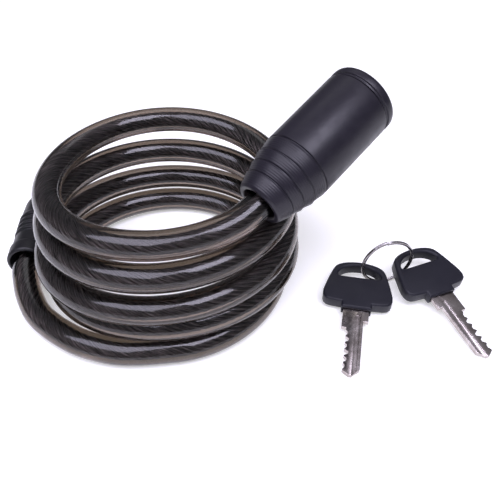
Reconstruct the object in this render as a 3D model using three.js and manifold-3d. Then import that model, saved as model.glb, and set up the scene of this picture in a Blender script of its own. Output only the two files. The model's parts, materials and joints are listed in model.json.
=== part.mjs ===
// Coiled cable lock: a self-coiling sheathed steel cable, a keyed lock head on its upper end, a locking
// plug on its lower end, and two keys on a split ring lying beside it. Millimetres, +Z up, z = 0 on the
// surface that everything lies on. +X is the level heading of the lock head, whose nose points up.
import * as THREE from 'three';
import { mergeVertices } from 'three/addons/utils/BufferGeometryUtils.js';
import Module from 'manifold-3d';

const wasm = await Module();
wasm.setup();

// ---------------------------------------------------------------- driving dimensions
const CABLE_R = 6; // sheath radius
const ROPE_R = 2.45; // bare steel rope radius, where the sheath is stripped
const GAP = 0.3; // standard gap between neighbours
const TURN_ROUND = 32; // facets round a large turned part
const TURN_SMALL = 20; // facets round a small turned part

const HEAD_TILT = THREE.MathUtils.degToRad(20); // the head's nose points this far above level
const HEAD_MOUTH = new THREE.Vector3(6.7, -51.3, 64); // centre of the cable mouth, from the coil's centre
const BARREL_R = 15.6;
const SHELL_END = 60.5; // lengths along the head are counted from the cable mouth
const HEAD_END = 66;
const MOUTH_BORE_R = 7.4;
const NECK_BORE_R = 9.6;
const CASE_BORE_R = 13.8;
const NECK_START = 9;
const NECK_END = 22.8;

const SOCKET_AT = 28.5; // where the locking pin's socket crosses the head
const SOCKET_R = 4.9;
const SOCKET_FLOOR = -10; // the socket opens at the +Y side and ends here
const LATCH_SLOT_AT = 34; // the latch's slotted plate
const STUD_OFFSET = 2.3;
const STUD_R = 1.2;

const CORE_R = 6;
const CORE_START = 35.8;
const CORE_FLANGE_AT = 61.4;
const CORE_FACE = 64.6;
const WAFER_COUNT = 5;
const WAFER_PITCH = 3.4; // also the pitch of the key's cuts
const WAFER_FIRST = 44.8;
const WAFER_THICK = 0.9;
const WAFER_DROP = 0.8; // how far the springs push each wafer out of the core while no key is in
const RETAINER_AT = 37.2;

const PLUG_MOUTH = new THREE.Vector3(-53.7, 44.3, 9.5); // centre of the boot's mouth
const PLUG_HEADING = THREE.MathUtils.degToRad(50.7); // from the boot's mouth to the pin, seen from above
const BOOT_LENGTH = 48;
const BOOT_R = 9.5;
const PIN_R = 4.5;
const PIN_NECK_R = 3;
const SHANK_R = 3.6; // the pin's inner end, held in the crimped ferrule
const PIN_GROOVE_AT = BOOT_LENGTH + BARREL_R; // lands on the latch when the boot's nose meets the barrel
const PIN_END = 73;

const COIL_TOP = 46.9;
const COIL_INNER_R = 46;
const COIL_OUTER_R = 59.5;

const KEY_THICK = 6; // plastic key head
const BLADE_THICK = 2;
const BLADE_HALF_WIDTH = 3.6;
const KEY_LENGTH = 62;
const KEY_SHOULDER = 38.2; // from the top of the key head to the stop on the blade's cut edge
const KEY_TIP_HEIGHT = 1.2;
const CUT_DEPTHS = [0.8, 1.6, 1, 1.9, 1.3, 0.8]; // the first clears the core's flange, each other meets a wafer
const SLOT_CENTRE = 6.2; // from the top of the key head to the middle of its ring slot
const SLOT_HALF = 3.5;
const RING_R = 12.2;
const RING_CENTRE = new THREE.Vector3(65.6, -79.4, 13.2);
const RING_HEADING = THREE.MathUtils.degToRad(-30); // the upright ring's plane, seen from above

// The cable's coil, one value for each quarter turn from the front of the lowest turn upwards.
const COIL_START = THREE.MathUtils.degToRad(225);
const QUARTER_RADII = [56, 50, 49.5, 53.4, 53.4, 55, 54.5, 56, 55.5, 54, 52.7, 52.4, 52.4, 53, 53.6, 50.3, 46.7];
const QUARTER_HEIGHTS = [6, 6, 6.2, 9.4, 17.9, 17.4, 18, 22.6, 30, 31.5, 35.6, 39.6, 44.7, 48, 53.3, 53.3, 56.2];
const HEAD_LEAD_QUARTER = 14; // the top turn lies free on the coil from this quarter on

// The cable's uncoiled stretches, from the coil's centre: from inside the boot to the lowest turn, and
// from the top turn into the head's mouth.
const PLUG_LEAD = [
  [-46.1, 53.6, 9.5], [-49.9, 48.9, 9.5], [-53.7, 44.3, 9.5], [-57.2, 39.8, 9.1], [-59.8, 34.5, 8.2],
  [-62.2, 29, 7.4], [-63.9, 23.3, 6.8], [-65.2, 17.4, 6.4], [-65.6, 11.6, 6.1], [-65.1, 5.8, 6],
  [-64.3, -0.2, 6], [-61.6, -10.9, 6], [-56.9, -20.8, 6], [-50.7, -29.6, 6],
];
const HEAD_LEAD = [
  [-25.5, -39.6, 56.9], [-17.5, -44.8, 58], [-9.8, -48.4, 59.4], [-1.9, -50.7, 61.2], [6.7, -51.3, 64],
  [14.2, -51.3, 66.75],
];

// ---------------------------------------------------------------- materials
const finish = (color, roughness, metalness) => new THREE.MeshStandardMaterial({ color, roughness, metalness });
const MATERIALS = {
  sheath: finish(0x2b2623, 0.2, 0),
  rope: finish(0x8a8d90, 0.45, 1),
  blackPlastic: finish(0x1b1a1d, 0.42, 0),
  bootPlastic: finish(0x161618, 0.5, 0),
  keyPlastic: finish(0x23232b, 0.5, 0),
  zinc: finish(0x9a9b9c, 0.45, 1),
  brass: finish(0xb89a55, 0.35, 1),
  steel: finish(0xb9bbbe, 0.25, 1),
  nickel: finish(0xa9a4a0, 0.3, 1),
};

// ---------------------------------------------------------------- geometry helpers
/** Merges shared corners, drops collapsed triangles and turns the faces outward. */
function closed(geometry) {
  const bare = geometry.index ? geometry.clone() : geometry;
  bare.deleteAttribute('normal');
  bare.deleteAttribute('uv');
  const merged = mergeVertices(bare, 1e-4);
  const corners = merged.index.array;
  const kept = [];
  for (let i = 0; i < corners.length; i += 3) {
    const [a, b, c] = corners.slice(i, i + 3);
    if (a !== b && b !== c && c !== a) kept.push(a, b, c);
  }
  merged.setIndex(kept);
  if (volumeOf(merged) < 0) {
    for (let i = 0; i < kept.length; i += 3) [kept[i], kept[i + 1]] = [kept[i + 1], kept[i]];
    merged.setIndex(kept);
  }
  return merged;
}

function volumeOf(geometry) {
  const place = geometry.attributes.position;
  const [a, b, c] = [new THREE.Vector3(), new THREE.Vector3(), new THREE.Vector3()];
  let total = 0;
  for (let i = 0; i < geometry.index.count; i += 3) {
    a.fromBufferAttribute(place, geometry.index.getX(i));
    b.fromBufferAttribute(place, geometry.index.getX(i + 1));
    c.fromBufferAttribute(place, geometry.index.getX(i + 2));
    total += a.dot(b.cross(c));
  }
  return total / 6;
}

function toSolid(geometry) {
  const shape = closed(geometry);
  const triVerts = new Uint32Array(shape.index.array);
  const vertProperties = new Float32Array(shape.attributes.position.array);
  return new wasm.Manifold(new wasm.Mesh({ numProp: 3, vertProperties, triVerts }));
}

function fromSolid(solid) {
  const mesh = solid.getMesh();
  const geometry = new THREE.BufferGeometry();
  geometry.setAttribute('position', new THREE.BufferAttribute(new Float32Array(mesh.vertProperties), 3));
  geometry.setIndex([...mesh.triVerts]);
  return geometry;
}

/** Takes the tools away from the base. */
const cut = (base, ...tools) => fromSolid(tools.reduce((left, tool) => left.subtract(toSolid(tool)), toSolid(base)));

const common = (a, b) => fromSolid(toSolid(a).intersect(toSolid(b)));

const joined = (...parts) => fromSolid(parts.map(toSolid).reduce((sum, next) => sum.add(next)));

/** Turned part about the X axis. The profile is [along, radius] pairs; it is closed on itself. */
function turned(profile, segments = TURN_ROUND) {
  const ends = [profile[0], profile[profile.length - 1]];
  const onAxis = ends.every(([, radius]) => radius === 0);
  const points = profile.map(([along, radius]) => new THREE.Vector2(radius, along));
  if (!onAxis) points.push(points[0].clone());
  return new THREE.LatheGeometry(points, segments).rotateZ(-Math.PI / 2);
}

/** Solid round bar along X. */
const bar = (from, to, radius, segments = TURN_SMALL) =>
  turned([[from, 0], [from, radius], [to, radius], [to, 0]], segments);

/** Block given by its lowest and highest corners. */
function block([x0, y0, z0], [x1, y1, z1]) {
  const box = new THREE.BoxGeometry(x1 - x0, y1 - y0, z1 - z0);
  return box.translate((x0 + x1) / 2, (y0 + y1) / 2, (z0 + z1) / 2);
}

/** Round bar across the X axis, along Y. */
function crossBar(at, radius, from, to, height = 0, segments = TURN_SMALL) {
  const rod = new THREE.CylinderGeometry(radius, radius, to - from, segments);
  return rod.translate(at, (from + to) / 2, height);
}

/** Tube of round section along a curve. */
function tube(curve, radius, steps, sides) {
  const section = new THREE.Shape();
  for (let i = 0; i < sides; i++) {
    const angle = (2 * Math.PI * i) / sides;
    const [x, y] = [radius * Math.cos(angle), radius * Math.sin(angle)];
    if (i === 0) section.moveTo(x, y);
    else section.lineTo(x, y);
  }
  section.closePath();
  return new THREE.ExtrudeGeometry(section, { extrudePath: curve, steps, curveSegments: 1 });
}

function piece(parent, name, geometry, material) {
  const mesh = new THREE.Mesh(closed(geometry), material.clone());
  mesh.name = name;
  parent.add(mesh);
}

// ---------------------------------------------------------------- lock head
/** Outside of the head: five stepped taper bands with grooves between them, then the barrel. */
function shellOutline() {
  const outline = [[0, 9.4], [0.8, 10.3]];
  const bandEnds = [[6.5, 12], [11.2, 13.4], [16.2, 14.7], [22.5, 15.5]];
  for (const [along, radius] of bandEnds) {
    outline.push([along - 0.5, radius], [along, radius - 0.6], [along + 0.5, radius + 0.05]);
  }
  outline.push([SHELL_END - 0.4, BARREL_R], [SHELL_END, BARREL_R - 0.4]);
  return outline;
}

function housingShell() {
  const bore = [
    [SHELL_END, CASE_BORE_R], [NECK_END, CASE_BORE_R], [NECK_END, NECK_BORE_R], [NECK_START, NECK_BORE_R],
    [NECK_START, MOUTH_BORE_R], [0.6, MOUTH_BORE_R], [0, MOUTH_BORE_R + 0.6],
  ];
  return cut(turned([...shellOutline(), ...bore], 40), crossBar(SOCKET_AT, SOCKET_R + 0.5, 0, BARREL_R + 2));
}

function endCap() {
  const seam = SHELL_END + GAP;
  return turned([
    [seam, 8.4], [seam, 15], [seam + 0.9, 15], [seam + 1.1, BARREL_R], [HEAD_END - 1.6, BARREL_R],
    [HEAD_END - 0.5, BARREL_R - 0.5], [HEAD_END, BARREL_R - 1.6], [HEAD_END, 9], [HEAD_END - 0.6, 8.4],
  ], 40);
}

/** Die-cast case: neck round the ferrule, pin socket, latch shaft, and the bore of the keyed core. */
function lockCase() {
  const body = turned([
    [NECK_START + GAP, 0], [NECK_START + GAP, NECK_BORE_R - GAP], [NECK_END + GAP, NECK_BORE_R - GAP],
    [NECK_END + GAP, CASE_BORE_R - GAP], [SHELL_END, CASE_BORE_R - GAP], [SHELL_END, 0],
  ]);
  const coreBore = turned([
    [CORE_START - 0.4, 0], [CORE_START - 0.4, CORE_R + GAP], [38.6, CORE_R + GAP], [39, CORE_R + 1.2],
    [59.2, CORE_R + 1.2], [59.6, CORE_R + GAP], [SHELL_END + 1, CORE_R + GAP], [SHELL_END + 1, 0],
  ], TURN_SMALL);
  return cut(
    body,
    bar(NECK_START - 1, 20.6, 6, TURN_SMALL),
    coreBore,
    crossBar(SOCKET_AT, SOCKET_R, SOCKET_FLOOR, CASE_BORE_R + 1),
    block([SOCKET_AT - 2.3, -1.8, -CASE_BORE_R - 1], [LATCH_SLOT_AT, 1.8, -2]),
    block([LATCH_SLOT_AT - 0.9, -5.5, -CASE_BORE_R - 1], [CORE_START, 5.5, 6]),
    crossBar(RETAINER_AT, 0.9, -CASE_BORE_R - 1, CASE_BORE_R + 1, 5.8, 12),
    block([15.8, -8, -7.7], [17.6, 8, NECK_BORE_R + 1]),
  );
}

/** Keyed core: face flange, keyway, wafer slots, retaining groove, and the eccentric stud behind it. */
function cylinderCore() {
  const body = turned([
    [CORE_START, 0], [CORE_START, CORE_R], [36.4, CORE_R], [36.4, 4.9], [38, 4.9], [38, CORE_R],
    [CORE_FLANGE_AT, CORE_R], [CORE_FLANGE_AT, 7.9], [CORE_FACE - 0.4, 7.9], [CORE_FACE, 7.5], [CORE_FACE, 0],
  ], 24);
  const stud = bar(LATCH_SLOT_AT - 0.7, CORE_START + 1, STUD_R, 12).translate(0, -STUD_OFFSET, 0);
  const slots = [];
  for (let i = 0; i < WAFER_COUNT; i++) {
    const middle = WAFER_FIRST + i * WAFER_PITCH;
    const half = WAFER_THICK / 2 + GAP;
    slots.push(block([middle - half, -4, -CORE_R - 1], [middle + half, 4, CORE_R + 1]));
  }
  const side = BLADE_THICK / 2 + 0.25;
  const keyway = block([40.2, -side, -4], [CORE_FACE + 1, side, 4]);
  return cut(joined(body, stud), keyway, ...slots);
}

/** Plate tumbler with a window for the key, which the key's cuts bring level with the core. */
function wafer(number) {
  const middle = WAFER_FIRST + number * WAFER_PITCH;
  const half = WAFER_THICK / 2;
  const plate = block([middle - half, -3.7, -CORE_R], [middle + half, 3.7, CORE_R]);
  const rounded = common(plate, bar(middle - 1, middle + 1, CORE_R - 0.1, 24));
  const shift = 0.25 * ((number * 2) % 3) - 0.25;
  const window = block([middle - 1, -1.7, -4.3 + shift], [middle + 1, 1.7, 4.3 + shift]);
  return cut(rounded, window).translate(0, 0, -WAFER_DROP);
}

/** Latch: a tongue that fills the pin's groove, on a plate whose slot the core's stud pulls down. */
function latchBolt() {
  const tongue = block([SOCKET_AT - 2, -1.5, -9.2], [SOCKET_AT + 2, 1.5, -3.3]);
  const foot = block([SOCKET_AT - 2, -1.5, -9.2], [LATCH_SLOT_AT + 0.7, 1.5, -6.2]);
  const plate = block([LATCH_SLOT_AT - 0.5, -5.1, -9.2], [LATCH_SLOT_AT + 0.7, 5.1, 5.4]);
  const slot = block([LATCH_SLOT_AT - 1, -3.9, -1.95], [LATCH_SLOT_AT + 1, 3.9, 3.6]);
  return cut(joined(tongue, foot, plate), slot);
}

/** Coil spring of round wire standing along Z between two heights. */
function coilSpring(radius, wire, turns, low, high) {
  const points = [];
  const steps = turns * 8;
  for (let i = 0; i <= steps; i++) {
    const angle = (2 * Math.PI * turns * i) / steps;
    const height = low + wire + ((high - low - 2 * wire) * i) / steps;
    points.push(new THREE.Vector3(radius * Math.cos(angle), radius * Math.sin(angle), height));
  }
  return tube(new THREE.CatmullRomCurve3(points), wire, steps, 6);
}

function latchSpring() {
  const stretch = { low: -CASE_BORE_R + GAP, high: -9.2 - GAP };
  return coilSpring(1.3, 0.22, 3, stretch.low, stretch.high).translate(SOCKET_AT + 1.6, 0, 0);
}

/** Steel sleeve crimped on the rope's end, with a neck that the fork clip holds and lets turn. */
function cableFerrule() {
  return turned([
    [8.3, ROPE_R + GAP], [8.3, 5.6], [15.7, 5.6], [15.7, 4.6], [17.7, 4.6], [17.7, 5.6], [20.2, 5.6],
    [20.2, 0], [18.6, 0], [18.6, ROPE_R + GAP],
  ], TURN_SMALL);
}

function ferruleClip() {
  const plate = common(block([16.1, -7.7, -7.4], [17.3, 7.7, 9]), bar(16, 17.4, NECK_BORE_R - 0.4, TURN_ROUND));
  const mouth = block([15, -4.9, 0], [18, 4.9, 10]);
  return cut(plate, bar(15, 18, 4.9, TURN_SMALL), mouth);
}

function buildHead() {
  const head = new THREE.Group();
  head.position.copy(HEAD_MOUTH);
  head.rotation.y = -HEAD_TILT;
  piece(head, 'housing_shell', housingShell(), MATERIALS.blackPlastic);
  piece(head, 'end_cap', endCap(), MATERIALS.blackPlastic);
  piece(head, 'lock_case', lockCase(), MATERIALS.zinc);
  piece(head, 'cylinder_core', cylinderCore(), MATERIALS.steel);
  for (let i = 0; i < WAFER_COUNT; i++) piece(head, `wafer_${i + 1}`, wafer(i), MATERIALS.brass);
  const retainer = crossBar(RETAINER_AT, 0.6, -12, 12, 5.8, 10);
  piece(head, 'core_retainer_pin', retainer, MATERIALS.steel);
  piece(head, 'latch_bolt', latchBolt(), MATERIALS.steel);
  piece(head, 'latch_spring', latchSpring(), MATERIALS.steel);
  piece(head, 'cable_ferrule', cableFerrule(), MATERIALS.steel);
  piece(head, 'ferrule_clip', ferruleClip(), MATERIALS.steel);
  piece(head, 'rope_end_head', bar(8.3, 18.3, ROPE_R, 12), MATERIALS.rope);
  return head;
}

// ---------------------------------------------------------------- locking plug
/** Moulded boot: rounded mouth lip, smooth band, four gripping ribs, and a nose drawn in at its end. */
function plugBoot() {
  const outline = [[0, 7.9], [0, 8.6], [0.9, BOOT_R], [7.2, BOOT_R], [8, 8.8], [15, 8.8]];
  for (let rib = 0; rib < 4; rib++) {
    const start = 15.6 + rib * 3.8;
    outline.push([start, 7.9], [start + 1.1, 7.9], [start + 1.5, 9.1], [start + 3.2, 9.1]);
  }
  outline.push([31.4, 8.7], [42, 8.2], [46, 7.3], [BOOT_LENGTH, 5.9], [BOOT_LENGTH, PIN_R + GAP]);
  const bore = [[37.9, PIN_R + GAP], [37.9, 6.6], [8, 6.6], [2, 7.4]];
  return turned([...outline, ...bore], 30);
}

function plugFerrule() {
  return turned([
    [12.3, ROPE_R + GAP], [12.3, 6.2], [37.2, 6.2], [37.2, SHANK_R + GAP], [24.7, SHANK_R + GAP],
    [24.7, ROPE_R + GAP],
  ], TURN_SMALL);
}

/** Hardened pin: shank in the ferrule, shoulder, groove for the latch, and a cone that leads it in. */
function lockingPin() {
  return turned([
    [25, 0], [25, SHANK_R], [37.5, SHANK_R], [37.5, PIN_R], [PIN_GROOVE_AT - 2.1, PIN_R],
    [PIN_GROOVE_AT - 2.1, PIN_NECK_R], [PIN_GROOVE_AT + 2.1, PIN_NECK_R], [PIN_GROOVE_AT + 2.1, PIN_R],
    [PIN_END - 4, PIN_R], [PIN_END - 0.5, 1.9], [PIN_END, 1.2], [PIN_END, 0],
  ], TURN_SMALL);
}

function buildPlug() {
  const plug = new THREE.Group();
  plug.position.copy(PLUG_MOUTH);
  plug.rotation.z = PLUG_HEADING;
  const pinHole = crossBar(31, 1.3, -10, 10, 0, 12);
  piece(plug, 'plug_boot', plugBoot(), MATERIALS.bootPlastic);
  piece(plug, 'plug_ferrule', cut(plugFerrule(), pinHole), MATERIALS.steel);
  piece(plug, 'locking_pin', cut(lockingPin(), pinHole), MATERIALS.steel);
  piece(plug, 'plug_cross_pin', crossBar(31, 1, -5.8, 5.8, 0, 10), MATERIALS.steel);
  piece(plug, 'rope_end_plug', bar(12.3, 24.7, ROPE_R, 12), MATERIALS.rope);
  return plug;
}

// ---------------------------------------------------------------- cable
/** Value at a place between the quarter-turn values, on a smooth curve through them. */
function between(values, quarter) {
  const last = values.length - 1;
  const index = Math.min(Math.floor(quarter), last - 1);
  const at = (i) => values[Math.max(0, Math.min(last, i))];
  const t = quarter - index;
  const [before, from, to, after] = [at(index - 1), at(index), at(index + 1), at(index + 2)];
  const rise = 0.5 * (to - before);
  const fall = 0.5 * (after - from);
  const square = t * t;
  const cube = square * t;
  return (2 * cube - 3 * square + 1) * from + (cube - 2 * square + t) * rise
    + (3 * square - 2 * cube) * to + (cube - square) * fall;
}

/** Point on the coil's centreline, a number of quarter turns after its start. */
function coilPoint(quarter) {
  const angle = COIL_START + (quarter * Math.PI) / 2;
  const radius = between(QUARTER_RADII, quarter);
  const height = between(QUARTER_HEIGHTS, quarter);
  return new THREE.Vector3(radius * Math.cos(angle), radius * Math.sin(angle), height);
}

const asVectors = (list) => list.map(([x, y, z]) => new THREE.Vector3(x, y, z));

/** Outer shape of the stacked turns, as one ring with rounded shoulders. */
function coilRing(grow = 0) {
  const [inner, outer, top] = [COIL_INNER_R - grow, COIL_OUTER_R + grow, COIL_TOP + grow];
  const points = [];
  const shoulder = 4;
  const corners = [
    [inner + shoulder, shoulder, Math.PI], [outer - shoulder, shoulder, 1.5 * Math.PI],
    [outer - shoulder, top - shoulder, 0], [inner + shoulder, top - shoulder, 0.5 * Math.PI],
  ];
  for (const [x, y, from] of corners) {
    for (let i = 0; i <= 2; i++) {
      const angle = from + (i * Math.PI) / 4;
      points.push(new THREE.Vector2(x + shoulder * Math.cos(angle), y + shoulder * Math.sin(angle)));
    }
  }
  points.push(points[0].clone());
  return new THREE.LatheGeometry(points, 56).rotateX(Math.PI / 2);
}

function buildCable() {
  const cable = new THREE.Group();
  const headLead = [];
  const lastQuarter = QUARTER_RADII.length - 1;
  for (let quarter = HEAD_LEAD_QUARTER; quarter <= lastQuarter; quarter += 0.25) headLead.push(coilPoint(quarter));
  headLead.push(...asVectors(HEAD_LEAD));
  const headLeadTube = tube(new THREE.CatmullRomCurve3(headLead), CABLE_R, 22, 10);
  const plugLeadTube = tube(new THREE.CatmullRomCurve3(asVectors(PLUG_LEAD)), CABLE_R, 12, 10);
  piece(cable, 'cable_coil', coilRing(), MATERIALS.sheath);
  piece(cable, 'cable_head_lead', headLeadTube, MATERIALS.sheath);
  piece(cable, 'cable_plug_lead', cut(plugLeadTube, coilRing(GAP)), MATERIALS.sheath);
  return cable;
}

// ---------------------------------------------------------------- keys
/** Key head seen flat: arched top at y = 0, sides spreading downwards, round corners, collar tab. */
function keyHeadOutline() {
  const outline = new THREE.Shape();
  outline.moveTo(0, 0);
  outline.quadraticCurveTo(8.4, -0.3, 11.3, -3.6);
  outline.quadraticCurveTo(12.6, -5.2, 15.2, -16);
  outline.quadraticCurveTo(17.6, -24.6, 11.9, -24.9);
  outline.lineTo(6.9, -25.2);
  outline.lineTo(6.7, -27.9);
  outline.lineTo(-6.7, -27.9);
  outline.lineTo(-6.9, -25.2);
  outline.lineTo(-11.9, -24.9);
  outline.quadraticCurveTo(-17.6, -24.6, -15.2, -16);
  outline.quadraticCurveTo(-12.6, -5.2, -11.3, -3.6);
  outline.quadraticCurveTo(-8.4, -0.3, 0, 0);
  const slot = new THREE.Path();
  const [low, high, side, round] = [-SLOT_CENTRE - SLOT_HALF, -SLOT_CENTRE + SLOT_HALF, 10, 1.6];
  slot.moveTo(-side + round, low);
  slot.lineTo(side - round, low);
  slot.quadraticCurveTo(side + 0.6, low, side - 0.2, low + round + 0.6);
  slot.quadraticCurveTo(side - 2.6, high, 0, high);
  slot.quadraticCurveTo(-side + 2.6, high, -side + 0.2, low + round + 0.6);
  slot.quadraticCurveTo(-side - 0.6, low, -side + round, low);
  outline.holes.push(slot);
  return outline;
}

function keyHead() {
  const bevel = 0.7;
  const body = new THREE.ExtrudeGeometry(keyHeadOutline(), {
    depth: KEY_THICK - 2 * bevel, bevelEnabled: true, bevelThickness: bevel, bevelSize: bevel, bevelOffset: -bevel,
    bevelSegments: 1, curveSegments: 5,
  }).translate(0, 0, -KEY_THICK / 2 + bevel);
  const half = BLADE_THICK / 2 + GAP;
  return cut(body, block([-6.2, -29, -half], [6.2, -19, half]));
}

/** Blade: tang in the head, shoulder, cuts along one edge, a milled groove each side, slanting tip. */
function keyBlade() {
  const edge = BLADE_HALF_WIDTH;
  const outline = new THREE.Shape();
  outline.moveTo(-5.8, -19.4);
  outline.lineTo(-5.8, -KEY_SHOULDER);
  outline.lineTo(-edge, -KEY_SHOULDER);
  const firstCut = KEY_SHOULDER + CORE_FACE - WAFER_FIRST - (WAFER_COUNT - 1) * WAFER_PITCH;
  CUT_DEPTHS.forEach((depth, i) => {
    const middle = -firstCut - (i - 1) * WAFER_PITCH;
    outline.lineTo(-edge, middle + 1.5);
    outline.lineTo(-edge + depth, middle + 0.5);
    outline.lineTo(-edge + depth, middle - 0.5);
    outline.lineTo(-edge, middle - 1.5);
  });
  outline.lineTo(-edge, 1.8 - KEY_LENGTH);
  outline.lineTo(-0.9, -KEY_LENGTH);
  outline.lineTo(0.4, -KEY_LENGTH);
  outline.lineTo(edge, 3.2 - KEY_LENGTH);
  outline.lineTo(edge, -33.8);
  outline.lineTo(5.8, -33.8);
  outline.lineTo(5.8, -19.4);
  outline.closePath();
  const plate = new THREE.ExtrudeGeometry(outline, { depth: BLADE_THICK, bevelEnabled: false });
  const grooves = [-1, 1].map((side) => {
    const face = (side * BLADE_THICK) / 2;
    return block([0.4, -KEY_LENGTH - 1, face - 0.45], [2.2, -31, face + 0.45]);
  });
  return cut(plate.translate(0, 0, -BLADE_THICK / 2), ...grooves);
}

/** A key lying with its tip on the surface and its head propped on the ring. */
function buildKey(number, { slotAt, heading, tilt, flipped }) {
  const key = new THREE.Group();
  const reach = KEY_LENGTH - SLOT_CENTRE;
  key.position.set(slotAt[0], slotAt[1], KEY_TIP_HEIGHT + reach * Math.sin(tilt));
  key.rotation.set(tilt, flipped ? Math.PI : 0, heading + Math.PI / 2, 'ZXY');
  piece(key, `key_${number}_head`, keyHead().translate(0, SLOT_CENTRE, 0), MATERIALS.keyPlastic);
  piece(key, `key_${number}_blade`, keyBlade().translate(0, SLOT_CENTRE, 0), MATERIALS.nickel);
  return key;
}

/** Split ring, both turns as one flat-sided ring. */
function keyRing() {
  const [inner, outer, half] = [RING_R - 0.8, RING_R + 0.8, 1];
  const profile = [[-half, inner + 0.3], [-half + 0.4, outer], [half - 0.4, outer], [half, inner + 0.3], [0, inner]];
  return turned(profile, 36);
}

function buildKeys() {
  const keys = new THREE.Group();
  const degrees = THREE.MathUtils.degToRad;
  keys.add(buildKey(1, { slotAt: [55.5, -71.6], heading: degrees(-146.2), tilt: degrees(5), flipped: false }));
  keys.add(buildKey(2, { slotAt: [79.6, -86.8], heading: degrees(-112.5), tilt: degrees(8), flipped: true }));
  const ring = new THREE.Group();
  ring.position.copy(RING_CENTRE);
  ring.rotation.z = RING_HEADING + Math.PI / 2;
  piece(ring, 'key_ring', keyRing(), MATERIALS.steel);
  keys.add(ring);
  return keys;
}

// ---------------------------------------------------------------- assembly
/** The origin is under the middle of everything but the cable's own solids. */
function assemble() {
  const lock = new THREE.Group();
  const fittings = [buildHead(), buildPlug(), buildKeys()];
  lock.add(...fittings);
  lock.updateMatrixWorld(true);
  const box = new THREE.Box3();
  for (const fitting of fittings) box.expandByObject(fitting, true);
  lock.add(buildCable());
  lock.position.set(-0.5 * (box.min.x + box.max.x), -0.5 * (box.min.y + box.max.y), 0);
  lock.updateMatrixWorld(true);
  return lock;
}

export default assemble();
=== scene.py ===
"""Coiled cable lock: the looks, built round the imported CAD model. Metres, in the model's own frame."""
import json
import math

import bmesh
import bpy
import numpy as np
from mathutils import Matrix, Vector


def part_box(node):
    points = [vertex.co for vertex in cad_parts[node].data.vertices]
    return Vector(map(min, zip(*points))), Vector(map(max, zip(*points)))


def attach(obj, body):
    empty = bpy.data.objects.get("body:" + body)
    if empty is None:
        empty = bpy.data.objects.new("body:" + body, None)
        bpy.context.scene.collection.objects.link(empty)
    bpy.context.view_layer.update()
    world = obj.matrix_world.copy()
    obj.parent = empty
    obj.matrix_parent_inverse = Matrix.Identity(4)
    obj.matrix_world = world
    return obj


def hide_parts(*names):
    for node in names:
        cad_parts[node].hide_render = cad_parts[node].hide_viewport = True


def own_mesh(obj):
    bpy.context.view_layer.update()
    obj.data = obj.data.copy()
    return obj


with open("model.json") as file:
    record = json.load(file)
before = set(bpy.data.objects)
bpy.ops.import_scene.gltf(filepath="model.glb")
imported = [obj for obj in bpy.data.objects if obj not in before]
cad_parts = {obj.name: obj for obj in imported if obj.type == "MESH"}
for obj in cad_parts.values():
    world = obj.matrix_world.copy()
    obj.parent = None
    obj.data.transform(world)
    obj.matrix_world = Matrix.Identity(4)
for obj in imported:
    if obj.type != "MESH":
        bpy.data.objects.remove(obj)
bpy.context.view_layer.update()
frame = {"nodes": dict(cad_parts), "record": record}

MM = 0.001
JOINTS = {j["name"]: j for j in frame["record"]["behaviour"]["joints"]}
COIL_LOW, COIL_HIGH = (Vector(corner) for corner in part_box("cable_coil"))
COIL = Vector(((COIL_LOW.x + COIL_HIGH.x) / 2, (COIL_LOW.y + COIL_HIGH.y) / 2, 0))

# ---------------------------------------------------------------- the route of the cable, in millimetres
CABLE_R = 6.0
ROPE_R = 2.45
# The coil's centre line at each quarter turn, from the lowest turn up: how far out it is, and how high.
COIL_START = math.radians(225)
QUARTER_RADII = (56, 50, 49.5, 53.4, 53.4, 55, 54.5, 56, 55.5, 54, 52.7, 52.4, 52.4, 53, 53.6, 50.3, 46.7)
QUARTER_HEIGHTS = (6, 6, 6.2, 9.4, 17.9, 17.4, 18, 22.6, 30, 31.5, 35.6, 39.6, 44.7, 48, 53.3, 53.3, 56.2)
STEPS_IN_QUARTER = 6
# The free ends, from the coil's centre: from inside the boot to the coil, and from the coil into the head.
PLUG_LEAD = (
    (-46.1, 53.6, 9.5), (-49.9, 48.9, 9.5), (-53.7, 44.3, 9.5), (-57.2, 39.8, 9.1), (-59.8, 34.5, 8.2),
    (-62.2, 29, 7.4), (-63.9, 23.3, 6.8), (-65.2, 17.4, 6.4), (-65.6, 11.6, 6.1), (-65.1, 5.8, 6),
    (-64.3, -0.2, 6), (-61.6, -10.9, 6), (-56.9, -20.8, 6), (-50.7, -29.6, 6),
)
HEAD_LEAD = (
    (-25.5, -39.6, 56.9), (-17.5, -44.8, 58), (-9.8, -48.4, 59.4), (-1.9, -50.7, 61.2), (6.7, -51.3, 64),
    (14.2, -51.3, 66.75),
)

# ---------------------------------------------------------------- places of the head and the plug
HEAD_AXIS = Vector(JOINTS["head_swivel"]["axis"])
HEAD_MOUTH = Vector(JOINTS["head_swivel"]["pos_m"])
PLUG_MOUTH = COIL + Vector(PLUG_LEAD[2]) * MM
PLUG_HEADING = math.radians(50.7)
# Millimetres, the lengths taken from the head's cable mouth, and for the boot from its own.
BARREL_R = 15.6
SHELL_END = 60.5
HEAD_END = 66.0
SOCKET_AT = 28.5
SOCKET_R = 5.4
BOOT_LENGTH = 48.0

CAMERA_HEADING = math.radians(45)
CAMERA_ELEVATION = math.radians(42)
CAMERA_DISTANCE = 0.231


def heading(angle):
    """Level direction at that angle from X."""
    return Vector((math.cos(angle), math.sin(angle), 0))


def place_of(origin, x_axis):
    """The matrix that puts local X along x_axis, with local Y level and local Z as near up as can be."""
    x_axis = x_axis.normalized()
    y_axis = Vector((0, 0, 1)).cross(x_axis).normalized()
    z_axis = x_axis.cross(y_axis)
    turn = Matrix((x_axis, y_axis, z_axis)).transposed().to_4x4()
    return Matrix.Translation(origin) @ turn


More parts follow.
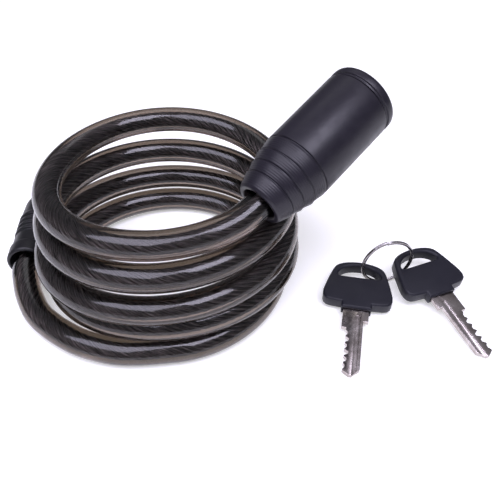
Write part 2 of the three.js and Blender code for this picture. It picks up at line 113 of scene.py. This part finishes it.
HEAD_PLACE = place_of(HEAD_MOUTH, HEAD_AXIS)
PLUG_PLACE = place_of(PLUG_MOUTH, heading(PLUG_HEADING))


# ---------------------------------------------------------------- camera
def make_camera():
    """From close by and well above, with the side of the lock head towards it."""
    target = COIL + Vector((0.0015, -0.0518, 0.0442))
    level = heading(CAMERA_HEADING) * math.cos(CAMERA_ELEVATION)
    forward = level - Vector((0, 0, math.sin(CAMERA_ELEVATION)))
    data = bpy.data.cameras.new("camera")
    data.lens = 41.3
    data.sensor_width = 36
    data.clip_start = 0.01
    camera = bpy.data.objects.new("camera", data)
    camera.location = target - forward * CAMERA_DISTANCE
    camera.rotation_euler = forward.to_track_quat("-Z", "Y").to_euler()
    bpy.context.scene.collection.objects.link(camera)
    bpy.context.scene.camera = camera


# ---------------------------------------------------------------- mesh helpers
def add_piece(name, mesh, body, material, replaces=()):
    piece = bpy.data.objects.new(name, mesh)
    bpy.context.scene.collection.objects.link(piece)
    mesh.materials.clear()
    mesh.materials.append(material)
    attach(piece, body)
    if replaces:
        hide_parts(*replaces)
    return piece


def mesh_of(name, points, faces, smooth=True):
    mesh = bpy.data.meshes.new(name)
    mesh.from_pydata([tuple(p) for p in points], [], [tuple(f) for f in faces])
    mesh.update()
    for face in mesh.polygons:
        face.use_smooth = smooth
    return mesh


def face_outward(mesh):
    shape = bmesh.new()
    shape.from_mesh(mesh)
    bmesh.ops.recalc_face_normals(shape, faces=shape.faces)
    shape.to_mesh(mesh)
    shape.free()
    return mesh


def sharpen(mesh, degrees=32):
    """Smooth shading with the edges over that angle kept crisp."""
    shape = bmesh.new()
    shape.from_mesh(mesh)
    for edge in shape.edges:
        edge.smooth = len(edge.link_faces) == 2 and edge.calc_face_angle(0) < math.radians(degrees)
    for face in shape.faces:
        face.smooth = True
    shape.to_mesh(mesh)
    shape.free()
    return mesh


def rounded(profile, radius):
    """The closed profile with each corner cut by a short arc of about that radius."""
    out = []
    count = len(profile)
    for i, corner in enumerate(profile):
        before, after = profile[i - 1], profile[(i + 1) % count]
        corner_v = Vector(corner)
        to_before = Vector(before) - corner_v
        to_after = Vector(after) - corner_v
        reach = min(radius, 0.4 * to_before.length, 0.4 * to_after.length)
        start = corner_v + to_before.normalized() * reach
        end = corner_v + to_after.normalized() * reach
        for t in (0, 1 / 3, 2 / 3, 1):
            out.append(tuple((1 - t) ** 2 * start + 2 * t * (1 - t) * corner_v + t ** 2 * end))
    return out


def circles(profile, place, segments):
    """Points of one circle about local X for each (along, radius) pair, in millimetres."""
    points = []
    for along, radius in profile:
        for i in range(segments):
            angle = 2 * math.pi * i / segments
            local = Vector((along, radius * math.cos(angle), radius * math.sin(angle)))
            points.append(place @ (local * MM))
    return points


def band(first, second, count):
    """Faces between two closed rows of points, given each row's number and how many points a row has."""
    faces = []
    for i in range(count):
        j = (i + 1) % count
        faces.append((first * count + i, first * count + j, second * count + j, second * count + i))
    return faces


def turned(name, profile, place, segments=96):
    """Closed ring turned about local X, from a closed profile."""
    rows = len(profile)
    faces = []
    for row in range(rows):
        faces += band(row, (row + 1) % rows, segments)
    return sharpen(face_outward(mesh_of(name, circles(profile, place, segments), faces)))


def turned_solid(name, profile, place, segments=96):
    """Solid turned about local X, with a flat disc at each end of the profile."""
    faces = []
    for row in range(len(profile) - 1):
        faces += band(row, row + 1, segments)
    last = (len(profile) - 1) * segments
    faces.append(tuple(range(segments)))
    faces.append(tuple(last + i for i in reversed(range(segments))))
    return sharpen(face_outward(mesh_of(name, circles(profile, place, segments), faces)))


def evaluated_mesh(item):
    """The object's mesh with its modifiers applied."""
    bpy.context.view_layer.update()
    return bpy.data.meshes.new_from_object(item.evaluated_get(bpy.context.evaluated_depsgraph_get()))


def cut_from(mesh, tool):
    """The mesh with the tool's space taken out of it."""
    base = bpy.data.objects.new("cut_base", mesh)
    cutter = bpy.data.objects.new("cut_tool", tool)
    for item in (base, cutter):
        bpy.context.scene.collection.objects.link(item)
    step = base.modifiers.new("cut", "BOOLEAN")
    step.operation = "DIFFERENCE"
    step.solver = "EXACT"
    step.object = cutter
    result = evaluated_mesh(base)
    result.name = mesh.name
    for item in (base, cutter):
        bpy.data.objects.remove(item)
    return sharpen(result)


def cylinder_mesh(start, end, radius, segments=64):
    """Cylinder between two points that aren't one above the other. The points are in metres."""
    axis = end - start
    length = axis.length / MM
    return turned_solid("cutter", [(0, radius), (length, radius)], place_of(start, axis), segments)


def refined(node, bevel):
    """A copy of a CAD node's mesh with its sharp edges rounded, as tumbling or moulding leaves them."""
    shape = bmesh.new()
    shape.from_mesh(frame["nodes"][node].data)
    bmesh.ops.remove_doubles(shape, verts=shape.verts, dist=1e-6)
    bmesh.ops.dissolve_limit(shape, angle_limit=math.radians(0.6), verts=shape.verts, edges=shape.edges)
    mesh = bpy.data.meshes.new(node + "_finished")
    shape.to_mesh(mesh)
    shape.free()
    holder = bpy.data.objects.new("holder", mesh)
    bpy.context.scene.collection.objects.link(holder)
    step = holder.modifiers.new("round", "BEVEL")
    step.width = bevel * MM
    step.segments = 2
    step.limit_method = "ANGLE"
    step.angle_limit = math.radians(30)
    result = evaluated_mesh(holder)
    bpy.data.objects.remove(holder)
    return sharpen(result, 40)


# ---------------------------------------------------------------- material helpers
class Nodes:
    """Short ways to add and join shader nodes."""

    def __init__(self, name):
        self.material = bpy.data.materials.new(name)
        self.material.use_nodes = True
        self.tree = self.material.node_tree
        self.shader = self.tree.nodes["Principled BSDF"]
        self.place = self.add("ShaderNodeTexCoord").outputs["Object"]

    def add(self, kind, **values):
        node = self.tree.nodes.new(kind)
        for key, value in values.items():
            setattr(node, key, value)
        return node

    def join(self, start, end):
        self.tree.links.new(start, end)

    def set(self, **values):
        for key, value in values.items():
            self.shader.inputs[key.replace("_", " ")].default_value = value

    def noise(self, scale, detail=4, rough=0.5, vector=None):
        node = self.add("ShaderNodeTexNoise")
        node.inputs["Scale"].default_value = scale
        node.inputs["Detail"].default_value = detail
        node.inputs["Roughness"].default_value = rough
        self.join(vector or self.place, node.inputs["Vector"])
        return node.outputs["Fac"]

    def spread(self, value, low, high, start=0.3, end=0.7):
        node = self.add("ShaderNodeMapRange")
        for key, number in (("From Min", start), ("From Max", end), ("To Min", low), ("To Max", high)):
            node.inputs[key].default_value = number
        self.join(value, node.inputs["Value"])
        return node.outputs["Result"]

    def shades(self, value, dark, light):
        node = self.add("ShaderNodeMix", data_type="RGBA")
        node.inputs["A"].default_value = (*dark, 1)
        node.inputs["B"].default_value = (*light, 1)
        self.join(value, node.inputs["Factor"])
        return node.outputs["Result"]

    def maths(self, operation, first, second=None):
        node = self.add("ShaderNodeMath", operation=operation)
        for i, value in enumerate((first, second)):
            if value is None:
                continue
            if isinstance(value, (int, float)):
                node.inputs[i].default_value = value
            else:
                self.join(value, node.inputs[i])
        return node.outputs["Value"]

    def bump(self, height, strength, depth_mm, under=None):
        node = self.add("ShaderNodeBump")
        node.inputs["Strength"].default_value = strength
        node.inputs["Distance"].default_value = depth_mm * MM
        self.join(height, node.inputs["Height"])
        if under:
            self.join(under, node.inputs["Normal"])
        return node.outputs["Normal"]

    def along(self, origin, axis):
        """Distance along an axis, in metres."""
        shift = self.add("ShaderNodeVectorMath", operation="SUBTRACT")
        shift.inputs[1].default_value = origin
        self.join(self.place, shift.inputs[0])
        dot = self.add("ShaderNodeVectorMath", operation="DOT_PRODUCT")
        dot.inputs[1].default_value = axis
        self.join(shift.outputs["Vector"], dot.inputs[0])
        return dot.outputs["Value"]


def moulded_plastic(name, dark, light, roughness, grain):
    """Satin black moulding: faint cloudy shade, fine spark-eroded grain, rubbed spots. Gives its Nodes."""
    n = Nodes(name)
    cloud = n.noise(60, 3)
    n.join(n.shades(cloud, dark, light), n.shader.inputs["Base Color"])
    rubbed = n.noise(220, 5, 0.6)
    n.join(n.spread(rubbed, roughness - 0.06, roughness + 0.08), n.shader.inputs["Roughness"])
    fine = n.noise(grain, 2, 0.6)
    n.join(n.bump(fine, 0.35, 0.05), n.shader.inputs["Normal"])
    n.set(IOR=1.5, Specular_IOR_Level=0.4)
    return n


def shell_plastic():
    """The head's plastic, with the fine turning lines that its mould left on the taper bands."""
    n = moulded_plastic("shell_plastic", (0.007, 0.006, 0.0105), (0.013, 0.011, 0.019), 0.38, 1700)
    along = n.along(HEAD_MOUTH, HEAD_AXIS)
    line_pitch = 0.85 * MM
    taper_end = 22 * MM
    lines = n.maths("SINE", n.maths("MULTIPLY", along, 2 * math.pi / line_pitch))
    on_taper = n.maths("LESS_THAN", along, taper_end)
    ridges = n.maths("MULTIPLY", lines, on_taper)
    old = n.shader.inputs["Normal"].links[0].from_socket
    n.join(n.bump(ridges, 0.5, 0.05, old), n.shader.inputs["Normal"])
    return n.material


def metal(name, dark, light, roughness, grain=1600, depth=0.006):
    """Plated or machined metal: clouded worn shade, handled spots and a fine grain."""
    n = Nodes(name)
    cloud = n.noise(110, 4, 0.6)
    n.join(n.shades(n.spread(cloud, 0, 1, 0.35, 0.65), dark, light), n.shader.inputs["Base Color"])
    handled = n.noise(260, 3, 0.6)
    n.join(n.spread(handled, roughness - 0.06, roughness + 0.08), n.shader.inputs["Roughness"])
    n.join(n.bump(n.noise(grain, 2, 0.5), 0.25, depth), n.shader.inputs["Normal"])
    n.set(Metallic=1.0)
    return n.material


def sheath_material():
    """Clear, smoky-brown PVC: it bends the light, and its skin is glossy and faintly wavy."""
    n = Nodes("sheath_pvc")
    waves = n.noise(70, 0)
    n.join(n.spread(n.noise(160, 3), 0.07, 0.13), n.shader.inputs["Roughness"])
    n.join(n.bump(waves, 0.10, 0.3), n.shader.inputs["Normal"])
    haze = n.noise(25, 3)
    n.join(n.shades(haze, (0.165, 0.125, 0.098), (0.225, 0.175, 0.140)), n.shader.inputs["Base Color"])
    n.set(Transmission_Weight=1.0, IOR=1.5)
    return n.material


def rope_material():
    """Twisted steel rope: bright wires with painted shade between them. The UV runs along it and round it.
    """
    n = Nodes("steel_rope")
    uv = n.add("ShaderNodeTexCoord").outputs["UV"]
    scaled = n.add("ShaderNodeMapping")
    scaled.inputs["Scale"].default_value = (36, 20, 1)
    n.join(uv, scaled.inputs["Vector"])
    wires = n.noise(3.0, 3, 0.7, scaled.outputs["Vector"])
    # Painted shade: the colour is darkest where the wire noise is low, in the hollows of the bump between
    # the wires.
    painted_shade_between_wires = n.spread(wires, 0, 1, 0.38, 0.68)
    n.join(n.shades(painted_shade_between_wires, (0.03, 0.033, 0.038), (0.42, 0.46, 0.54)), n.shader.inputs["Base Color"])
    n.join(n.spread(wires, 0.5, 0.28), n.shader.inputs["Roughness"])
    n.join(n.bump(wires, 0.7, 0.15), n.shader.inputs["Normal"])
    n.set(Metallic=0.85)
    return n.material


# ---------------------------------------------------------------- cable
def between(values, quarter):
    """Value at a place between the quarter-turn values, on a smooth curve through them."""
    last = len(values) - 1
    index = min(int(quarter), last - 1)
    t = quarter - index
    before, start, end, after = (values[max(0, min(last, index + k))] for k in (-1, 0, 1, 2))
    rise = 0.5 * (end - before)
    fall = 0.5 * (after - start)
    return ((2 * t ** 3 - 3 * t ** 2 + 1) * start + (t ** 3 - 2 * t ** 2 + t) * rise
            + (3 * t ** 2 - 2 * t ** 3) * end + (t ** 3 - t ** 2) * fall)


def coil_point(quarter):
    angle = COIL_START + quarter * math.pi / 2
    radius = between(QUARTER_RADII, quarter)
    return (radius * math.cos(angle), radius * math.sin(angle), between(QUARTER_HEIGHTS, quarter))


def smooth_line(points, step):
    """Points about a step apart on a smooth curve through the given ones."""
    points = [Vector(p) for p in points]
    dense = []
    for i in range(len(points) - 1):
        before = points[max(0, i - 1)]
        start, end = points[i], points[i + 1]
        after = points[min(len(points) - 1, i + 2)]
        slope = end - before
        bend = 2 * before - 5 * start + 4 * end - after
        twist = 3 * start - before - 3 * end + after
        for k in range(8):
            t = k / 8
            dense.append(0.5 * (2 * start + slope * t + bend * t ** 2 + twist * t ** 3))
    dense.append(points[-1])
    line = np.array([tuple(p) for p in dense])
    along = np.concatenate([[0], np.cumsum(np.linalg.norm(np.diff(line, axis=0), axis=1))])
    at = np.linspace(0, along[-1], int(along[-1] / step) + 1)
    return np.stack([np.interp(at, along, line[:, k]) for k in range(3)], axis=1), along[-1]


def cable_route():
    """From inside the head's mouth, down through the coil, to inside the plug's boot."""
    quarters = len(QUARTER_RADII) - 1
    coil = [coil_point(k / STEPS_IN_QUARTER) for k in range(quarters * STEPS_IN_QUARTER + 1)]
    route = list(PLUG_LEAD) + coil + list(HEAD_LEAD)
    return [COIL + Vector(p) * MM for p in reversed(route)]


def frames_along(line):
    """Two directions across the line at each point, carried along it without twist."""
    ahead = np.gradient(line, axis=0)
    ahead /= np.linalg.norm(ahead, axis=1)[:, None]
    side = np.cross(ahead[0], (0, 0, 1))
    sides = []
    for direction in ahead:
        side = side - direction * side.dot(direction)
        side = side / np.linalg.norm(side)
        sides.append(side)
    sides = np.array(sides)
    return sides, np.cross(ahead, sides)


def swept(name, line, radii, twist_per_m=0.0):
    """Closed tube along the line. The section has one radius in each direction, and turns as it goes."""
    sides, ups = frames_along(line)
    count = len(radii)
    step = np.linalg.norm(np.diff(line, axis=0), axis=1)
    along = np.concatenate([[0], np.cumsum(step)])
    angles = 2 * math.pi * np.arange(count) / count
    points = []
    for centre, side, up, distance in zip(line, sides, ups, along):
        turn = angles + twist_per_m * distance
        outward = np.cos(turn)[:, None] * side + np.sin(turn)[:, None] * up
        points.append(centre + radii[:, None] * outward)
    points = np.concatenate(points)
    faces = []
    for row in range(len(line) - 1):
        faces += band(row, row + 1, count)
    last = (len(line) - 1) * count
    faces.append(tuple(reversed(range(count))))
    faces.append(tuple(last + i for i in range(count)))
    mesh = face_outward(mesh_of(name, points, faces))
    layer = mesh.uv_layers.new(name="along_and_round")
    for loop in mesh.loops:
        row, i = divmod(loop.vertex_index, count)
        layer.data[loop.index].uv = (along[min(row, len(along) - 1)], i / count)
    return mesh


def strand_radii(strands, points_each, radius):
    """Radius of a rope of equal round strands that touch each other, in each direction across it."""
    half = math.sin(math.pi / strands)
    strand = radius * half / (1 + half)
    centre = radius - strand
    radii = []
    for i in range(strands * points_each):
        away = (i % points_each) / points_each - 0.5
        angle = away * 2 * math.pi / strands
        inside = max(strand ** 2 - (centre * math.sin(angle)) ** 2, 0)
        radii.append(centre * math.cos(angle) + math.sqrt(inside))
    return np.array(radii)


def make_cable():
    """The sheath, and inside it the rope, whose strands go once round in each lay length."""
    route = cable_route()
    path, length = smooth_line(route, 2.5 * MM)
    skin = swept("cable_sheath", path, np.full(28, CABLE_R * MM))
    solids = ("cable_coil", "cable_head_lead", "cable_plug_lead")
    sheath = add_piece("cable_sheath", skin, "cable", sheath_material(), solids)
    fine, _ = smooth_line(route, 1.25 * MM)
    lay = 30 * MM
    section = strand_radii(8, 8, ROPE_R * MM)
    rope = swept("cable_rope", fine, section, 2 * math.pi / lay)
    add_piece("cable_rope", rope, "cable", rope_material())


# ---------------------------------------------------------------- lock head
def shell_profile():
    """Stepped taper bands with grooves between them, then the barrel; back down the bore."""
    case_r, case_start = 13.9, 22.8
    ferrule_r, ferrule_start = 9.6, 9
    mouth_r = 7.4
    outline = [(0, 9.5), (0.8, 10.3)]
    for along, radius in ((6.5, 12), (11.2, 13.4), (16.2, 14.7), (22.5, 15.5)):
        step = 0.15 if radius < 15 else 0
        outline += [(along - 0.5, radius + step), (along - 0.35, radius - 0.6)]
        outline += [(along + 0.35, radius - 0.6), (along + 0.5, radius - step)]
    outline += [(SHELL_END - 0.5, BARREL_R), (SHELL_END, BARREL_R - 0.5)]
    bore = [(SHELL_END, case_r), (case_start, case_r), (case_start, ferrule_r), (ferrule_start, ferrule_r)]
    bore += [(ferrule_start, mouth_r), (0.8, mouth_r), (0, 8)]
    return outline + bore


def make_shell(plastic):
    shell = turned("housing_shell_finished", rounded(shell_profile(), 0.35), HEAD_PLACE, 112)
    start = HEAD_PLACE @ (Vector((SOCKET_AT, 2, 0)) * MM)
    end = HEAD_PLACE @ (Vector((SOCKET_AT, BARREL_R + 4, 0)) * MM)
    shell = cut_from(shell, cylinder_mesh(start, end, SOCKET_R))
    add_piece("housing_shell_finished", shell, "head", plastic, ("housing_shell",))


def make_end_cap(plastic):
    seam = SHELL_END + 0.3
    seam_r, bore_r = 15, 8.4
    back = [(seam, bore_r), (seam, seam_r), (seam + 0.9, seam_r), (seam + 1.1, BARREL_R)]
    rim = [(HEAD_END - 1.8, BARREL_R), (HEAD_END - 0.6, BARREL_R - 0.5), (HEAD_END, BARREL_R - 1.8)]
    face = [(HEAD_END, bore_r + 0.8), (HEAD_END - 0.6, bore_r)]
    cap = turned("end_cap_finished", rounded(back + rim + face, 0.5), HEAD_PLACE, 112)
    add_piece("end_cap_finished", cap, "head", plastic, ("end_cap",))


def make_core(nickel):
    core = refined("cylinder_core", 0.18)
    add_piece("cylinder_core_finished", core, "core", nickel, ("cylinder_core",))


def make_latch_spring(steel):
    """Wire spring with closed ends, built at one length. In the lock it shortens as the core's stud draws
    the latch bolt down.
    """
    low, high = -13.5, -9.5
    middle = SOCKET_AT + 1.6
    wire_r, turn_r, turns, steps = 0.22, 1.3, 4, 28
    line = []
    for i in range(turns * steps + 1):
        share = i / (turns * steps)
        rise = min(max((share - 0.12) / 0.76, 0), 1)
        angle = 2 * math.pi * turns * share
        height = low + wire_r + rise * (high - low - 2 * wire_r)
        local = Vector((middle + turn_r * math.cos(angle), turn_r * math.sin(angle), height))
        line.append(tuple(HEAD_PLACE @ (local * MM)))
    mesh = swept("latch_spring_finished", np.array(line), np.full(10, wire_r * MM))
    spring = add_piece("latch_spring_finished", mesh, "head", steel, ("latch_spring",))
    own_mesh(spring)


# ---------------------------------------------------------------- plug
def make_boot(plastic):
    """Lip round the cable mouth, four ribs with grooves before them, then a plain taper to the pin."""
    lip_r, body_r, groove_r, rib_r = 9.5, 8.8, 7.9, 9.1
    pin_hole_r, ferrule_r = 4.8, 6.6
    outline = [(0, 7.9), (0, 8.6), (0.9, lip_r), (7.2, lip_r), (8, body_r), (15, body_r)]
    for rib in range(4):
        start = 15.6 + rib * 3.8
        outline += [(start, groove_r), (start + 1.1, groove_r), (start + 1.5, rib_r), (start + 3.2, rib_r)]
    outline += [(31.4, 8.7), (42, 8.2), (46, 7.3), (BOOT_LENGTH, 5.9), (BOOT_LENGTH, pin_hole_r)]
    bore = [(37.9, pin_hole_r), (37.9, ferrule_r), (8, ferrule_r), (2, 7.4)]
    boot = turned("plug_boot_finished", rounded(outline + bore, 0.45), PLUG_PLACE, 96)
    add_piece("plug_boot_finished", boot, "cable", plastic, ("plug_boot",))


def make_locking_pin(steel):
    """Shank in the boot, then the pin with the groove that the latch drops into, and a tapered nose."""
    pin_r, shank_r, groove_r = 4.5, 3.6, 3
    groove = BOOT_LENGTH + BARREL_R
    shank = [(25, shank_r - 0.2), (25.2, shank_r), (37.5, shank_r)]
    near = [(37.5, pin_r - 0.2), (37.7, pin_r), (groove - 2.4, pin_r), (groove - 2.1, pin_r - 0.3)]
    hollow = [(groove - 2.1, groove_r + 0.1), (groove - 2, groove_r), (groove + 2, groove_r)]
    hollow += [(groove + 2.1, groove_r + 0.1), (groove + 2.1, pin_r - 0.3), (groove + 2.4, pin_r)]
    nose = [(68.6, pin_r), (69.2, pin_r - 0.1), (72.4, 2.1), (72.8, 1.5), (73, 1)]
    pin = turned_solid("locking_pin_finished", shank + near + hollow + nose, PLUG_PLACE, 72)
    add_piece("locking_pin_finished", pin, "cable", steel, ("locking_pin",))


# ---------------------------------------------------------------- keys
def make_keys(plastic, nickel, ring_steel):
    for number in (1, 2):
        body = f"key_{number}"
        head = f"key_{number}_head"
        blade = f"key_{number}_blade"
        add_piece(head + "_finished", refined(head, 0.35), body, plastic, (head,))
        add_piece(blade + "_finished", refined(blade, 0.12), body, nickel, (blade,))
    make_split_ring(ring_steel)


def make_split_ring(steel):
    """Two turns of flattened wire, one beside the other, standing on edge in the CAD ring's place."""
    low, high = (Vector(corner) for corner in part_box("key_ring"))
    centre = (low + high) / 2
    span = Vector((high.x - low.x, -(high.y - low.y), 0))
    level = span.normalized()
    across = level.cross(Vector((0, 0, 1)))
    radius = 12.2 * MM
    half_thick, half_wide, wire_pitch = 0.48, 0.75, 0.5
    turns, count = 2, 160
    line = []
    for i in range(count + 1):
        share = i / count
        angle = math.radians(100) + 2 * math.pi * turns * share
        side = (share - 0.5) * turns * wire_pitch * MM
        offset = level * math.cos(angle) * radius + Vector((0, 0, 1)) * math.sin(angle) * radius
        line.append(tuple(centre + offset + across * side))
    around = 2 * math.pi * np.arange(16) / 16
    section = MM / np.sqrt((np.cos(around) / half_thick) ** 2 + (np.sin(around) / half_wide) ** 2)
    ring = swept("key_ring_finished", np.array(line), section)
    add_piece("key_ring_finished", ring, "ring", steel, ("key_ring",))


# ---------------------------------------------------------------- studio
def add_softbox(name, target, turn, height, distance, size, radiance, colour):
    """Softbox turned so many degrees to the left of the camera's side, and so many above the floor."""
    level = heading(CAMERA_HEADING + math.pi - math.radians(turn))
    raised = math.radians(height)
    place = target + distance * (level * math.cos(raised) + Vector((0, 0, math.sin(raised))))
    data = bpy.data.lights.new(name, "AREA")
    data.shape = "RECTANGLE"
    data.size, data.size_y = size
    data.energy = radiance * math.pi * size[0] * size[1]
    data.color = colour
    light = bpy.data.objects.new(name, data)
    light.location = place
    light.rotation_euler = (target - place).to_track_quat("-Z", "Y").to_euler()
    bpy.context.scene.collection.objects.link(light)


def studio_room():
    """Dim grey room, lighter overhead than at the sides."""
    world = bpy.data.worlds.new("studio")
    world.use_nodes = True
    tree = world.node_tree
    direction = tree.nodes.new("ShaderNodeTexCoord")
    parts = tree.nodes.new("ShaderNodeSeparateXYZ")
    ramp = tree.nodes.new("ShaderNodeValToRGB")
    tree.links.new(direction.outputs["Generated"], parts.inputs["Vector"])
    tree.links.new(parts.outputs["Z"], ramp.inputs["Fac"])
    tree.links.new(ramp.outputs["Color"], tree.nodes["Background"].inputs["Color"])
    sides, overhead = ramp.color_ramp.elements
    sides.position = 0.05
    sides.color = (0.11, 0.11, 0.12, 1)
    overhead.position = 0.85
    overhead.color = (0.30, 0.29, 0.33, 1)
    return world


def make_floor():
    reach = 12
    corners = [(-reach, -reach, 0), (reach, -reach, 0), (reach, reach, 0), (-reach, reach, 0)]
    floor_mesh = mesh_of("floor", corners, [(0, 1, 2, 3)], False)
    floor = bpy.data.objects.new("floor", floor_mesh)
    paint = Nodes("floor_white")
    paint.set(Base_Color=(0.85, 0.85, 0.85, 1), Roughness=1.0, Specular_IOR_Level=0.0)
    paint.set(Emission_Color=(1, 1, 1, 1), Emission_Strength=0.42)
    floor_mesh.materials.append(paint.material)
    bpy.context.scene.collection.objects.link(floor)


def make_studio():
    """Two softboxes beside the camera, a weak one behind, and a white floor that glows a little."""
    centre = COIL + Vector((0, 0, 0.03))
    add_softbox("left_softbox", centre, 46, 60, 0.85, (0.72, 0.50), 5.0, (0.84, 0.81, 1))
    add_softbox("right_softbox", centre, -42, 62, 0.85, (0.42, 0.45), 8.0, (0.84, 0.81, 1))
    add_softbox("back_softbox", centre, 180, 55, 1.2, (0.8, 0.3), 1.0, (0.97, 0.97, 1))
    bpy.context.scene.world = studio_room()
    make_floor()
    bpy.context.scene.view_settings.view_transform = "Standard"


def dress_inside(steel):
    """The nodes inside the head and the plug that show as the CAD made them, each in its own metal."""
    zinc = metal("die_cast_zinc", (0.36, 0.36, 0.37), (0.52, 0.52, 0.53), 0.45, 1500, 0.05)
    brass = metal("brass", (0.55, 0.40, 0.18), (0.78, 0.60, 0.30), 0.32)
    rope = metal("bare_rope_end", (0.25, 0.25, 0.25), (0.5, 0.5, 0.5), 0.4)
    inner = {"lock_case": zinc, "rope_end_head": rope, "rope_end_plug": rope}
    steel_nodes = ("core_retainer_pin", "latch_bolt", "cable_ferrule", "ferrule_clip", "plug_ferrule")
    for node in (*steel_nodes, "plug_cross_pin"):
        inner[node] = steel
    for node in frame["nodes"]:
        if node.startswith("wafer_"):
            inner[node] = brass
    for node, material in inner.items():
        item = frame["nodes"][node]
        item.data.materials.clear()
        item.data.materials.append(material)


def main():
    make_camera()
    make_cable()
    shell = shell_plastic()
    boot = moulded_plastic("boot_plastic", (0.005, 0.005, 0.006), (0.009, 0.009, 0.011), 0.4, 1500)
    key_plastic = moulded_plastic("key_plastic", (0.007, 0.007, 0.012), (0.012, 0.012, 0.020), 0.45, 1300)
    nickel = metal("nickel", (0.34, 0.30, 0.28), (0.55, 0.51, 0.49), 0.24)
    bright = metal("bright_wire", (0.30, 0.28, 0.28), (0.55, 0.53, 0.53), 0.2)
    steel = metal("plated_steel", (0.5, 0.5, 0.52), (0.72, 0.72, 0.74), 0.24)
    make_shell(shell)
    make_end_cap(shell)
    make_core(nickel)
    make_latch_spring(steel)
    make_boot(boot.material)
    make_locking_pin(steel)
    make_keys(key_plastic.material, nickel, bright)
    dress_inside(steel)
    make_studio()


main()
